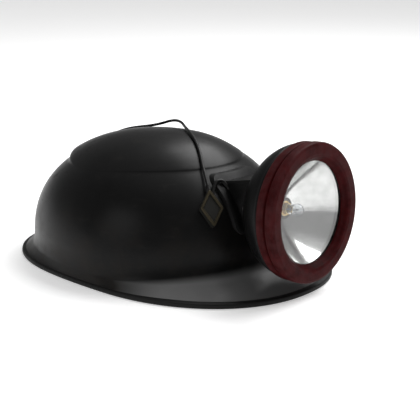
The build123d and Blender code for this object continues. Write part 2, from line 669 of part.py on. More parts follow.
# ratchet housing on the nape band, with its knob behind and a pad in front
NAPE_Y = BAND_ARM_Y + BAND_REAR
KNOB_Z, BUCKLE_DEEP, NAPE_KNOB_R, NAPE_KNOB_DEEP = 23.0, 8.0, 13.0, 8.0
with BuildPart() as nape_buckle:
    with BuildSketch(Plane.XZ.offset(-NAPE_Y - BUCKLE_DEEP)):
        with Locations((0, KNOB_Z)):
            RectangleRounded(50, 27, 6)
    extrude(amount=BUCKLE_DEEP + 6)
    fillet(nape_buckle.faces().sort_by(Axis.Y)[-1].edges(), 1.2)
    with BuildSketch():
        add(band_region(NAPE_HALF, BAND_REAR, NAPE_ARM_Y, back=True))
    extrude(amount=60, mode=Mode.SUBTRACT)
    with BuildSketch(Plane.XZ.offset(-NAPE_Y - BUCKLE_DEEP)):
        with Locations((0, KNOB_Z)):
            Circle(3.05)
    extrude(amount=BUCKLE_DEEP - 2, mode=Mode.SUBTRACT)
keep("nape_buckle", nape_buckle.part)

with BuildPart() as nape_knob:
    with BuildSketch(Plane.XZ.offset(-NAPE_Y - BUCKLE_DEEP - 0.2 - NAPE_KNOB_DEEP)):
        with Locations((0, KNOB_Z)):
            Circle(NAPE_KNOB_R)
            with PolarLocations(NAPE_KNOB_R + 0.6, 12):
                Circle(1.7, mode=Mode.SUBTRACT)
    extrude(amount=NAPE_KNOB_DEEP)
    with BuildSketch(Plane.XZ.offset(-NAPE_Y - BUCKLE_DEEP - 0.2)):
        with Locations((0, KNOB_Z)):
            Circle(3)
    extrude(amount=5.8)
keep("nape_knob", nape_knob.part)

with BuildPart() as nape_pad:
    pad_out = BAND_THICK + SWEAT_GAP
    with BuildSketch(Plane.XY.offset(BAND_LOW + 1.5)):
        add(band_region(NAPE_HALF - pad_out, BAND_REAR - pad_out, NAPE_ARM_Y, back=True))
        add(band_region(NAPE_HALF - pad_out - 5, BAND_REAR - pad_out - 5, NAPE_ARM_Y - 1, back=True),
            mode=Mode.SUBTRACT)
        with Locations((0, NAPE_Y - 22)):
            Rectangle(400, 200, align=(Align.CENTER, Align.MAX), mode=Mode.SUBTRACT)
    extrude(amount=BAND_HIGH - BAND_LOW - 3)
keep("nape_pad", nape_pad.part)

# keepers fixed on the headband's arms; the nape band's arms slide through them
KEEPER_Y, KEEPER_LONG = 41.0, 6.0
with BuildPart() as band_keepers:
    for side in (-1, 1):
        with BuildSketch(Plane.XZ.offset(-KEEPER_Y - KEEPER_LONG / 2)):
            with Locations((side * (BAND_HALF - 1.9), (BAND_LOW + BAND_HIGH) / 2)):
                RectangleRounded(8.6, BAND_HIGH - BAND_LOW + 3.2, 1.0)
            with Locations((side * (BAND_HALF - 2.6), (BAND_LOW + BAND_HIGH) / 2)):
                Rectangle(5.2, BAND_HIGH - BAND_LOW, mode=Mode.SUBTRACT)
        extrude(amount=KEEPER_LONG)
keep("band_keepers", band_keepers.part)


def strap(plane, ends, reach, top, foot):
    """Webbing strap over the head: two legs, at the given ends, and quarter ellipses to its crown."""
    with BuildPart() as webbing:
        for grow, mode in ((STRAP_THICK, Mode.ADD), (0, Mode.SUBTRACT)):
            for end in ends:
                side = math.copysign(1, end - reach)
                length = abs(end - reach)
                with BuildSketch(plane):
                    with BuildLine():
                        start = (reach + side * (length + grow), STRAP_FOOT)
                        crown = (reach, top + grow)
                        arc = EllipticalCenterArc(
                            (reach, STRAP_FOOT), length + grow, top + grow - STRAP_FOOT,
                            start_angle=0 if side > 0 else 90, arc_size=90)
                        Polyline(start, (start[0], foot), (reach, foot), crown)
                    make_face()
                extrude(amount=STRAP_HALF, both=True, mode=mode)
    return webbing.part


STRAP_TOP = 84.0
STRAP_CLEAR = 0.4
with BuildPart() as strap_long:
    add(strap(Plane.YZ, (BAND_Y - BAND_FRONT - STRAP_CLEAR, NAPE_Y + 3), BAND_Y, STRAP_TOP, 41.0))
keep("strap_long", strap_long.part)

with BuildPart() as strap_cross:
    add(strap(Plane.XZ.offset(-BAND_Y), (-BAND_HALF - STRAP_CLEAR, BAND_HALF + STRAP_CLEAR), 0.0,
              STRAP_TOP + STRAP_THICK + 0.8, 41.0))
keep("strap_cross", strap_cross.part)

# crown pad under the crossing
PAD_R, PAD_TOP, PAD_SAG = 28.0, STRAP_TOP - 0.5, 4.0
PAD_CROWN_R = (PAD_R ** 2 + PAD_SAG ** 2) / (2 * PAD_SAG)
with BuildPart() as crown_pad:
    with BuildSketch(Plane.XZ.offset(-BAND_Y)):
        with BuildLine():
            edge_z, centre_z = PAD_TOP - PAD_SAG, PAD_TOP - PAD_CROWN_R
            middle = (PAD_R / 2, centre_z + math.sqrt(PAD_CROWN_R ** 2 - PAD_R ** 2 / 4))
            Polyline((0, PAD_TOP), (0, PAD_TOP - 5.5), (PAD_R, edge_z - 4.5), (PAD_R, edge_z))
            ThreePointArc((PAD_R, edge_z), middle, (0, PAD_TOP))
        make_face()
    revolve(axis=Axis((0, BAND_Y, 0), (0, 0, 1)))
keep("crown_pad", crown_pad.part)

# keys: each is a socket on the shell's wall, a tongue, and a plate behind the strap's foot
KEY_HALF, KEY_PLATE = 12.0, 2.4
key_start = STRAP_CLEAR + STRAP_THICK + 0.2
with BuildPart() as harness_keys:
    for direction, face, wall, low in ((-90, BAND_FRONT - BAND_Y, 91.5, 12.0), (0, BAND_HALF, 100.0, 12.0),
                                       (180, BAND_HALF, 100.0, 12.0), (90, NAPE_Y + 3, 140.5, 41.5)):
        turn = math.radians(direction)
        outward = Vector(math.cos(turn), math.sin(turn), 0)
        middle = Vector(0, BAND_Y, 0) if direction in (0, 180) else Vector(0, 0, 0)
        near = face + key_start
        with BuildSketch(Plane(origin=middle, x_dir=outward, z_dir=outward.cross(Vector(0, 0, 1)))):
            with BuildLine():
                Polyline((near, low), (near + KEY_PLATE, low), (near + KEY_PLATE, 43), (wall - 4, 43),
                         (wall - 4, 40), (wall + 8, 40), (wall + 8, 54), (wall - 4, 54), (wall - 4, 46.5),
                         (near + KEY_PLATE, 46.5), (near + KEY_PLATE, 52), (near, 52), close=True)
            make_face()
        extrude(amount=KEY_HALF, both=True)
    add(inner_dome, mode=Mode.INTERSECT)
keep("harness_keys", harness_keys.part)

# ---- cord: free lead over the crown and down the back to a coil on the floor, with its plug ----
CLIP_SIDE, CLIP_LIFT, CLIP_BORE = 8.2, 2.6, 1.5
with BuildPart() as cord_clip:
    with BuildSketch(Plane(origin=CLIP.from_local_coords((CLIP_SIDE, 4, CLIP_LIFT)),
                           x_dir=CLIP.x_dir, z_dir=-CLIP.y_dir)):
        Circle(2.5)
        with Locations((0, CLIP_LIFT - 1.0)):
            Rectangle(CLIP_SIDE + 4.5, 1.0, align=(Align.MAX, Align.MIN))
        Circle(CLIP_BORE, mode=Mode.SUBTRACT)
    extrude(amount=8)
    add(outer_dome, mode=Mode.SUBTRACT)
    with BuildSketch(CLIP.offset(-2)):
        Circle(1.7)
    extrude(amount=6, mode=Mode.SUBTRACT)
keep("cord_clip", cord_clip.part)

with BuildPart() as clip_rivet:
    with BuildSketch(CLIP.offset(-WALL - 1.8)):
        Circle(1.6)
    extrude(amount=WALL + 3.4)
    for height, depth in ((1.0, 1.1), (-WALL - 0.8, -1.3)):
        with BuildSketch(CLIP.offset(height)):
            Circle(3.0)
        extrude(amount=depth)
keep("clip_rivet", clip_rivet.part)

CORD_ROUTE = [
    (-34.5, -66.1, 84.9), (-31.7, -62.1, 88.7), (-28.2, -57.1, 92.7), (-23.9, -51.2, 97.5),
    (-18.2, -44.2, 102.8), (-12.2, -36.8, 107.4), (-5.6, -27.6, 111.4), (1.8, -16.6, 114.7),
    (10.0, -3.8, 116.6), (19.4, 8.2, 116.2), (27.6, 17.0, 115.4), (33.4, 25.2, 116.2),
    (36.6, 33.8, 116.6), (37.2, 42.8, 115.0), (35.0, 51.6, 111.7), (31.4, 61.0, 109.1),
    (27.6, 72.0, 107.2), (24.0, 84.0, 104.6), (20.6, 97.2, 99.6), (18.2, 110.2, 91.0),
    (16.6, 122.4, 78.4), (15.5, 135.2, 64.4), (15.5, 143.3, 49.8), (16.6, 147.3, 35.6),
    (17.0, 150.8, 23.8), (18.2, 155.2, 15.0), (21.2, 159.0, 8.4), (27.0, 160.9, 3.9),
    (34.6, 160.0, 1.7), (43.4, 157.3, 1.4), (52.0, 155.2, 1.4), (60.0, 154.35, 1.4),
]


def bend_radii(route):
    """Largest tangent arc for each corner: 0.45 of its shorter run over the half turn's tangent."""
    radii = []
    for before, here, after in zip(route, route[1:], route[2:]):
        run_in = Vector(*here) - Vector(*before)
        run_out = Vector(*after) - Vector(*here)
        half_turn = math.radians(run_in.get_angle(run_out)) / 2
        radii.append(0.45 * min(run_in.length, run_out.length) / math.tan(half_turn))
    return radii


cord_radii = bend_radii(CORD_ROUTE)
with BuildPart() as cord_tube:
    add(lead(CORD_ROUTE, cord_radii, CORD_D / 2))
keep("cord_tube", cord_tube.part)
with BuildLine() as cord_line:
    FilletPolyline(*CORD_ROUTE, radius=cord_radii)
cord_length = sum(edge.length for edge in cord_line.edges())
print("cord radii", [round(r, 1) for r in cord_radii])
print("cord length", round(cord_length, 1), "volume", round(cord_tube.part.volume, 1),
      "section x length", round(math.pi * CORD_D ** 2 / 4 * cord_length, 1))

with BuildPart() as cord_coil:
    with BuildSketch(Plane.XY.offset(0.1)):
        with Locations((COIL_X, COIL_Y)):
            Circle((COIL_D + COIL_WIDE) / 2)
            Circle((COIL_D - COIL_WIDE) / 2, mode=Mode.SUBTRACT)
    extrude(amount=COIL_HIGH)
    fillet(cord_coil.edges(), 1.2)
keep("cord_coil", cord_coil.part)

# battery plug lying beside the coil, with its moulded tail
PLUG_START, PLUG_TURN, PLUG_R = (77.3, 178.0, 5.7), 12.0, 5.5
plug_way = Vector(math.sin(math.radians(PLUG_TURN)), math.cos(math.radians(PLUG_TURN)), 0)
with BuildPart() as cord_plug:
    with BuildSketch(Plane(origin=PLUG_START, x_dir=plug_way, z_dir=(0, 0, 1))):
        with BuildLine():
            Polyline((0, 0), (0, 1.7), (8, 2.4), (8, PLUG_R - 1), (9, PLUG_R), (20, PLUG_R), (20, PLUG_R - 0.8),
                     (26, PLUG_R - 0.8), (26, 0), close=True)
        make_face()
    revolve(axis=Axis(PLUG_START, plug_way))
keep("cord_plug", cord_plug.part)
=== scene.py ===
import math

import bmesh
import bpy
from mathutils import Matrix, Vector


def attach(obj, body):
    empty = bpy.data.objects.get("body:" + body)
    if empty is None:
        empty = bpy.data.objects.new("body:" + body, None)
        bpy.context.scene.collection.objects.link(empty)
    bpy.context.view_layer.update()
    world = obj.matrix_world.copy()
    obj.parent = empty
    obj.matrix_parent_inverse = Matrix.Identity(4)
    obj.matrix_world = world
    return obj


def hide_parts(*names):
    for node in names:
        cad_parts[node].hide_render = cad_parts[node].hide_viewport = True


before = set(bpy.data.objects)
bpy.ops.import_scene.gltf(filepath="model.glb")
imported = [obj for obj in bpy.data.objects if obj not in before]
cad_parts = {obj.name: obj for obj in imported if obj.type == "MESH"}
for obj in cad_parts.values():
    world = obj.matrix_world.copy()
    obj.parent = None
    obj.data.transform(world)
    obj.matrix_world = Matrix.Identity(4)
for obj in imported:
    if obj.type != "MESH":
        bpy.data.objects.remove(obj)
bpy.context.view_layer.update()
MM = 0.001

# ---- camera: the cap's right front, from a little above ----
CAMERA_AZIMUTH, CAMERA_ELEVATION = -48.81, 15.38
CAMERA_TARGET = Vector((12.4, -27.5, 47.5)) * MM
CAMERA_DISTANCE = 0.95
CAMERA_LENS, CAMERA_SENSOR = 92.6, 36


def direction(azimuth, elevation):
    """Unit vector from the object towards a viewer at that azimuth and elevation."""
    a, e = math.radians(azimuth), math.radians(elevation)
    return Vector((math.sin(a) * math.cos(e), -math.cos(a) * math.cos(e), math.sin(e)))


def make_camera():
    """The scene's camera, looking at the target from the photo's side."""
    data = bpy.data.cameras.new("camera")
    data.lens, data.sensor_width = CAMERA_LENS, CAMERA_SENSOR
    camera = bpy.data.objects.new("camera", data)
    bpy.context.collection.objects.link(camera)
    back = direction(CAMERA_AZIMUTH, CAMERA_ELEVATION)
    camera.location = CAMERA_TARGET + back * CAMERA_DISTANCE
    camera.rotation_mode = "QUATERNION"
    camera.rotation_quaternion = (-back).to_track_quat("-Z", "Y")
    bpy.context.scene.camera = camera


make_camera()

# ---- cord: one smooth line from the gland over the crown, through the coil and towards the plug ----
CORD_D = 2.5
# part.py's route without its last point, where the coil's first turn begins
CORD_ROUTE = [
    (-34.5, -66.1, 84.9), (-31.7, -62.1, 88.7), (-28.2, -57.1, 92.7), (-23.9, -51.2, 97.5),
    (-18.2, -44.2, 102.8), (-12.2, -36.8, 107.4), (-5.6, -27.6, 111.4), (1.8, -16.6, 114.7),
    (10.0, -3.8, 116.6), (19.4, 8.2, 116.2), (27.6, 17.0, 115.4), (33.4, 25.2, 116.2),
    (36.6, 33.8, 116.6), (37.2, 42.8, 115.0), (35.0, 51.6, 111.7), (31.4, 61.0, 109.1),
    (27.6, 72.0, 107.2), (24.0, 84.0, 104.6), (20.6, 97.2, 99.6), (18.2, 110.2, 91.0),
    (16.6, 122.4, 78.4), (15.5, 135.2, 64.4), (15.5, 143.3, 49.8), (16.6, 147.3, 35.6),
    (17.0, 150.8, 23.8), (18.2, 155.2, 15.0), (21.2, 159.0, 8.4), (27.0, 160.9, 3.9),
    (34.6, 160.0, 1.7), (43.4, 157.3, 1.4), (52.0, 155.2, 1.4),
]
COIL_CENTRE = (60.0, 171.0)
COIL_RADII = (16.65, 14.0, 11.35)
COIL_LOW, LAYER_RISE = 1.4, 2.6
LAYERS = 4
STEPS = 24
# where a turn climbs to the next layer, and where it moves to the next radius, in degrees
CLIMB = (255, 306)
SHIFT = (308, 358)
EXIT_RADIUS = 19.35
# (radius, degrees, height) where the top turn leaves the coil
COIL_LEAVE = [(EXIT_RADIUS, 0, 9.2), (EXIT_RADIUS, 14, 9.2), (EXIT_RADIUS, 28, 9.1), (19.7, 42, 8.8)]
# known fault: this stops 2.1 mm beside the plug's axis, so a cut end shows beside the plug's tail
CORD_END = [(77.2, 161.6, 7.9), (79.5, 167.4, 6.5), (79.8, 172.4, 5.8), (79.7, 179.0, 5.7)]


def smooth(low, high, value):
    """0 below low, 1 above high, and an even S between."""
    t = min(1.0, max(0.0, (value - low) / (high - low)))
    return t * t * (3 - 2 * t)


def coil_points():
    """Turns of the coil: rings side by side, each layer wound back over the last one."""
    rings = []
    for layer in range(LAYERS):
        radii = COIL_RADII if layer % 2 == 0 else COIL_RADII[::-1]
        rings += [(radius, layer) for radius in radii]
    points = []
    for i, (radius, layer) in enumerate(rings):
        next_radius, next_layer = rings[i + 1] if i + 1 < len(rings) else (EXIT_RADIUS, layer)
        for step in range(STEPS):
            degrees = 360 * step / STEPS
            r = radius + (next_radius - radius) * smooth(*SHIFT, degrees)
            z = COIL_LOW + LAYER_RISE * (layer + (next_layer - layer) * smooth(*CLIMB, degrees))
            points.append((r, degrees, z))
    points += COIL_LEAVE
    # the spline cuts inside its control points, so they stand this much further out
    widen = 1 / math.cos(math.pi / STEPS)
    placed = []
    for r, degrees, z in points:
        a = math.radians(degrees - 90)
        x, y = COIL_CENTRE[0] + widen * r * math.cos(a), COIL_CENTRE[1] + widen * r * math.sin(a)
        placed.append((x, y, z))
    return placed


def make_cord():
    """The whole cord as one NURBS spline with a round section."""
    points = CORD_ROUTE + coil_points() + CORD_END
    data = bpy.data.curves.new("cord", "CURVE")
    data.dimensions = "3D"
    data.bevel_depth = CORD_D / 2 * MM
    data.bevel_resolution = 5
    data.resolution_u = 6
    spline = data.splines.new("NURBS")
    spline.points.add(len(points) - 1)
    for point, place in zip(spline.points, points):
        point.co = (*[c * MM for c in place], 1)
    spline.order_u = 3
    spline.use_endpoint_u = True
    cord = bpy.data.objects.new("cord", data)
    bpy.context.collection.objects.link(cord)
    return cord


cord = make_cord()


# ---- meshes ----
def add_mesh(name, vertices, faces):
    """A smooth-shaded mesh object from vertices in millimetres in the CAD's frame."""
    data = bpy.data.meshes.new(name)
    data.from_pydata([tuple(c * MM for c in v) for v in vertices], [], faces)
    data.validate()
    data.shade_smooth()
    piece = bpy.data.objects.new(name, data)
    bpy.context.collection.objects.link(piece)
    return piece


def skin(rings, close_ends=False):
    """Vertices of closed rings of one size, numbered ring by ring, and the faces between them."""
    count = len(rings[0])
    vertices = [v for ring in rings for v in ring]
    faces = []
    for i in range(len(rings) - 1):
        for j in range(count):
            k = (j + 1) % count
            faces.append((i * count + j, i * count + k, (i + 1) * count + k, (i + 1) * count + j))
    if close_ends:
        faces.append(tuple(reversed(range(count))))
        faces.append(tuple((len(rings) - 1) * count + j for j in range(count)))
    return vertices, faces


def modify(piece, kind, **settings):
    """Adds a modifier and applies it, so that the mesh holds the shape."""
    modifier = piece.modifiers.new(kind, kind)
    for key, value in settings.items():
        setattr(modifier, key, value)
    with bpy.context.temp_override(object=piece, active_object=piece, selected_objects=[piece]):
        bpy.ops.object.modifier_apply(modifier=modifier.name)


def outward(piece):
    """Makes a mesh's faces agree, outward where it is closed; make_shell checks its open skin."""
    work = bmesh.new()
    work.from_mesh(piece.data)
    bmesh.ops.recalc_face_normals(work, faces=work.faces)
    work.to_mesh(piece.data)
    work.free()


# ---- cap shell: the same dome, panel and brim formulas as the CAD shell, as one smooth skin ----
DOME_Y, DOME_HALF, DOME_FRONT, DOME_REAR = 11.0, 106.0, 107.0, 136.0
DOME_FOOT, DOME_HIGH = 16.0, 95.0
ROUND_PLAN, ROUND_RISE = 2.08, 2.36
PANEL_Y, PANEL_HALF, PANEL_LONG, PANEL_RAISE = 26.0, 72.0, 82.0, 4.5
BRIM_HALF, BRIM_Y, BRIM_FRONT_Y, BRIM_REAR_Y = 108.0, -6.0, -143.5, 152.3
BRIM_WAIST, BRIM_TOP, BRIM_RISE = 1.5, 3.4, 13.4
WALL = 2.5
TURNS = 240
# the panel's own dome: how much larger it is in plan, and how softly and at what level the two merge
PANEL_GROW, MERGE_SOFT, MERGE_LEVEL = 6.0, 0.7, 60
# the brim's plan: inset of the dome's foot, fullness of its two ends, place and width of its waist
FOOT_INSET, FULL_REAR, FULL_FRONT, WAIST_Y, WAIST_WIDE = 2, 2.55, 2.2, 20, 45
# rings of the skin: how many on each stretch, and the share of it that they cover
PANEL_RINGS, PANEL_SHARE = 24, 0.985
STEP_RINGS = ((0.992, 0.12), (0.997, 0.4), (1.003, 0.75), (1.009, 0.95))
DOME_RINGS, DOME_FROM = 40, 1.018
BRIM_RINGS, BRIM_FROM, BRIM_SHARE, BRIM_CURVE = 21, 0.06, 0.94, 1.35
SOFT_BEFORE, SOFT_RINGS, SOFT_PASSES = 4, 8, 10


def dome_height(x, y, grow=0.0, raised=0.0):
    """Height of the dome over a place in its plan, or of the panel's dome when it is raised."""
    half = DOME_HALF - grow * 4 / 3
    length = DOME_REAR + grow if y > DOME_Y else DOME_FRONT - grow
    share = math.hypot(x / half, (y - DOME_Y) / length)
    return DOME_FOOT + (DOME_HIGH + raised) * max(0.0, 1 - share ** ROUND_PLAN) ** (1 / ROUND_RISE)


def panel_height(x, y):
    """Height of the raised crown, merged softly where it dips into the dome."""
    low = dome_height(x, y)
    high = dome_height(x, y, PANEL_GROW, PANEL_RAISE)
    both = sum(math.exp((z - MERGE_LEVEL) / MERGE_SOFT) for z in (low, high))
    return MERGE_SOFT * math.log(both) + MERGE_LEVEL


def outline(turn, share, inset=0.0):
    """A point of the brim's plan between the dome's foot (share 0) and its edge (share 1)."""
    c, s = math.cos(turn), math.sin(turn)
    length = DOME_REAR if s > 0 else DOME_FRONT
    foot = Vector(((DOME_HALF - inset - FOOT_INSET) * c, DOME_Y + (length - inset - FOOT_INSET) * s))
    full = FULL_REAR if s > 0 else FULL_FRONT
    reach = BRIM_REAR_Y - BRIM_Y if s > 0 else BRIM_Y - BRIM_FRONT_Y
    waist = BRIM_WAIST * math.exp(-((reach * s + BRIM_Y - WAIST_Y) / WAIST_WIDE) ** 2)
    edge = Vector(((BRIM_HALF - inset - waist) * math.copysign(abs(c) ** (2 / full), c),
                   BRIM_Y + (reach - inset) * math.copysign(abs(s) ** (2 / full), s)))
    return foot + (edge - foot) * share


def shell_rings():
    """Rings of the outer surface from the crown out to the brim's edge, and where the hollow begins."""
    centre = Vector((0.0, PANEL_Y))
    turns = [2 * math.pi * i / TURNS for i in range(TURNS)]

    def rim(t):
        return Vector((PANEL_HALF * math.cos(t), PANEL_Y + PANEL_LONG * math.sin(t)))

    def foot(t):
        length = DOME_REAR if t < math.pi else DOME_FRONT
        return Vector((DOME_HALF * math.cos(t), DOME_Y + length * math.sin(t)))

    def on_panel(t, share):
        p = centre + (rim(t) - centre) * share
        return (p.x, p.y, panel_height(p.x, p.y))

    def on_step(t, share, mix):
        p = centre + (rim(t) - centre) * share
        high, low = panel_height(p.x, p.y), dome_height(p.x, p.y)
        return (p.x, p.y, high + (low - high) * mix)

    def on_dome(t, share):
        start = centre + (rim(t) - centre) * DOME_FROM
        p = start + (foot(t) - start) * share
        return (p.x, p.y, dome_height(p.x, p.y))

    def on_brim(t, share):
        p = outline(t, share)
        return (p.x, p.y, BRIM_TOP + BRIM_RISE * (1 - share) ** BRIM_CURVE)

    rings = []
    for i in range(1, PANEL_RINGS + 1):
        rings.append([on_panel(t, PANEL_SHARE * i / PANEL_RINGS) for t in turns])
    for share, mix in STEP_RINGS:
        rings.append([on_step(t, share, mix) for t in turns])
    # the dome's own last ring, at its foot, is left out: the brim begins just outside it
    for i in range(1, DOME_RINGS):
        rings.append([on_dome(t, math.sin(math.pi / 2 * i / DOME_RINGS)) for t in turns])
    soft_from = len(rings) - SOFT_BEFORE
    for i in range(1, BRIM_RINGS + 1):
        rings.append([on_brim(t, BRIM_FROM + BRIM_SHARE * i / BRIM_RINGS) for t in turns])
    return rings, soft_from


def soften(rings, start, count, passes):
    """Rounds the hollow between the dome and the brim by averaging neighbouring rings."""
    for _ in range(passes):
        kept = [list(r) for r in rings]
        for i in range(start, start + count):
            for j, here in enumerate(kept[i]):
                before, after = Vector(kept[i - 1][j]), Vector(kept[i + 1][j])
                rings[i][j] = tuple(Vector(here) * 0.5 + (before + after) * 0.25)


def make_shell():
    """The cap: crown, panel, dome and brim in one skin, with the wall's thickness added inside."""
    rings, junction = shell_rings()
    soften(rings, junction, SOFT_RINGS, SOFT_PASSES)
    vertices, faces = skin(rings)
    crown = len(vertices)
    vertices.append((0.0, PANEL_Y, panel_height(0.0, PANEL_Y)))
    faces += [(crown, (i + 1) % TURNS, i) for i in range(TURNS)]
    shell = add_mesh("cap_shell", vertices, faces)
    outward(shell)
    if shell.data.polygons[-1].normal.z < 0:
        shell.data.flip_normals()
    modify(shell, "SOLIDIFY", thickness=WALL * MM, offset=-1.0)
    shell.data.shade_smooth()
    return shell


# the edging's section, as (distance out from the brim's edge, height)
TRIM_SECTION = [(-4.0, 0.0), (0.2, 0.0), (0.9, 0.5), (1.2, 1.3), (1.2, 2.8), (0.8, 3.9), (0.1, 4.4),
                (-3.4, 4.9), (-4.0, 4.7), (-4.0, 3.0)]


def make_trim():
    """Rubber edging: a rounded channel carried round the brim's edge."""
    rings = []
    for i in range(TURNS):
        turn = 2 * math.pi * i / TURNS
        ring = []
        for out, z in TRIM_SECTION:
            p = outline(turn, 1.0, -out)
            ring.append((p.x, p.y, z))
        rings.append(ring)
    rings.append(rings[0])
    vertices, faces = skin(rings)
    trim = add_mesh("edge_rubber", vertices, faces)
    work = bmesh.new()
    work.from_mesh(trim.data)
    bmesh.ops.remove_doubles(work, verts=work.verts, dist=1e-6)
    work.to_mesh(trim.data)
    work.free()
    outward(trim)
    modify(trim, "SUBSURF", levels=1, render_levels=1)
    trim.data.shade_smooth()
    return trim


shell = make_shell()
trim = make_trim()


# ---- materials: every one is made of procedural nodes ----
class Finish:
    """A material under construction, with short calls for the nodes that it uses."""

    def __init__(self, name, colour=(0.8, 0.8, 0.8), rough=0.5, **settings):
        self.material = bpy.data.materials.new(name)
        self.material.use_nodes = True
        self.nodes = self.material.node_tree.nodes
        self.links = self.material.node_tree.links
        self.shader = self.nodes["Principled BSDF"]
        self.shader.inputs["Base Color"].default_value = (*colour, 1)
        self.shader.inputs["Roughness"].default_value = rough
        for key, value in settings.items():
            self.shader.inputs[key.replace("_", " ")].default_value = value
        self.place = self.nodes.new("ShaderNodeTexCoord").outputs["Object"]

    def node(self, kind, **settings):
        """A new node with its settings."""
        made = self.nodes.new(kind)
        for key, value in settings.items():
            setattr(made, key, value)
        return made

    def noise(self, scale, detail=4.0, roughness=0.55, stretch=(1, 1, 1), distortion=0.0):
        """Noise with features of about 1/scale metres; stretch squeezes it along an axis."""
        mapping = self.node("ShaderNodeMapping")
        mapping.inputs["Scale"].default_value = stretch
        self.links.new(self.place, mapping.inputs["Vector"])
        made = self.node("ShaderNodeTexNoise")
        made.inputs["Scale"].default_value = scale
        made.inputs["Detail"].default_value = detail
        made.inputs["Roughness"].default_value = roughness
        made.inputs["Distortion"].default_value = distortion
        self.links.new(mapping.outputs["Vector"], made.inputs["Vector"])
        return made.outputs["Fac"]

    def cells(self, scale):
        """Distance to the nearest of scattered points, about 1/scale metres apart."""
        made = self.node("ShaderNodeTexVoronoi", feature="F1")
        made.inputs["Scale"].default_value = scale
        self.links.new(self.place, made.inputs["Vector"])
        return made.outputs["Distance"]

    def waves(self, scale, axis, distortion):
        """Bands across an axis."""
        made = self.node("ShaderNodeTexWave", wave_type="BANDS", bands_direction=axis)
        made.inputs["Scale"].default_value = scale
        made.inputs["Distortion"].default_value = distortion
        self.links.new(self.place, made.inputs["Vector"])
        return made.outputs["Fac"]

    def span(self, value, low, high, to_low=0.0, to_high=1.0):
        """The value's range low to high made to_low to to_high, and held there outside it."""
        made = self.node("ShaderNodeMapRange", clamp=True)
        for i, number in enumerate((low, high, to_low, to_high)):
            made.inputs[i + 1].default_value = number
        self.links.new(value, made.inputs[0])
        return made.outputs[0]

    def maths(self, operation, a, b):
        """One sum on two values, each a number or a node's output."""
        made = self.node("ShaderNodeMath", operation=operation)
        for i, value in enumerate((a, b)):
            if isinstance(value, (int, float)):
                made.inputs[i].default_value = value
            else:
                self.links.new(value, made.inputs[i])
        return made.outputs[0]

    def edges(self, low=0.505, high=0.57):
        """1 on sharp outer edges of a mesh, 0 elsewhere."""
        made = self.node("ShaderNodeNewGeometry")
        return self.span(made.outputs["Pointiness"], low, high)

    def axis(self, name):
        """The object's own X, Y or Z at the surface, in metres."""
        made = self.node("ShaderNodeSeparateXYZ")
        self.links.new(self.place, made.inputs[0])
        return made.outputs[name]

    def normal(self, name):
        """The X, Y or Z part of the surface's direction."""
        made = self.node("ShaderNodeSeparateXYZ")
        self.links.new(self.node("ShaderNodeNewGeometry").outputs["Normal"], made.inputs[0])
        return made.outputs[name]

    def mix(self, amount, a, b):
        """Colour a where amount is 0 and b where it is 1."""
        made = self.node("ShaderNodeMix", data_type="RGBA")
        for socket, value in ((made.inputs[0], amount), (made.inputs[6], a), (made.inputs[7], b)):
            if isinstance(value, tuple):
                socket.default_value = (*value, 1)
            elif isinstance(value, (int, float)):
                socket.default_value = value
            else:
                self.links.new(value, socket)
        return made.outputs[2]

    def colour(self, output):
        self.links.new(output, self.shader.inputs["Base Color"])

    def rough(self, output):
        self.links.new(output, self.shader.inputs["Roughness"])

    def bump(self, *layers):
        """Layers of (height, depth in metres, strength)."""
        normal = None
        for height, depth, strength in layers:
            made = self.node("ShaderNodeBump")
            made.inputs["Distance"].default_value = depth
            made.inputs["Strength"].default_value = strength
            self.links.new(height, made.inputs["Height"])
            if normal is not None:
                self.links.new(normal, made.inputs["Normal"])
            normal = made.outputs["Normal"]
        self.links.new(normal, self.shader.inputs["Normal"])


def shell_plastic():
    """Black moulded shell: fine orange peel, rubbed patches, and brown dust low on the sides.

    The brim's front, where it faces up, is painted grey by its place: a painted highlight for the
    overhead light that it reflects. The brim's front is painted grey by its place, to match a tone in
    the photo that is probably light.
    """
    f = Finish("shell_plastic", rough=0.34, Specular_IOR_Level=0.12)
    peel = f.noise(900, 3)
    patches = f.noise(22, 6, 0.62)
    scuffs = f.span(f.noise(55, 7, 0.7, (1, 1, 3.5), 0.6), 0.56, 0.72)
    low = f.span(f.axis("Z"), 0.012, 0.07, 1.0, 0.0)
    dust = f.maths("MULTIPLY", low, f.span(f.noise(34, 6, 0.7), 0.42, 0.72))
    base = f.mix(f.span(patches, 0.3, 0.75), (0.0035, 0.0035, 0.0037), (0.0062, 0.0061, 0.006))
    base = f.mix(f.maths("MULTIPLY", scuffs, 0.28), base, (0.02, 0.018, 0.016))
    base = f.mix(f.maths("MULTIPLY", dust, 0.42), base, (0.026, 0.019, 0.014))
    # painted highlight: the up-facing front edge of the brim is painted pale grey, standing in for the
    # overhead light it reflects
    flat = f.span(f.normal("Z"), 0.5, 0.85)
    painted_highlight_front = f.span(f.axis("Y"), 0.085, -0.07)
    rim = f.maths("MULTIPLY", f.maths("MULTIPLY", flat, painted_highlight_front), f.span(f.axis("Z"), 0.024, 0.012))
    f.colour(f.mix(rim, base, f.mix(patches, (0.12, 0.12, 0.12), (0.16, 0.16, 0.16))))
    rough = f.span(patches, 0.25, 0.8, 0.27, 0.41)
    f.rough(f.maths("ADD", rough, f.maths("MULTIPLY", f.maths("MAXIMUM", scuffs, dust), 0.16)))
    f.bump((f.noise(9, 2), 0.0012, 0.18), (peel, 0.00005, 0.35))
    return f.material


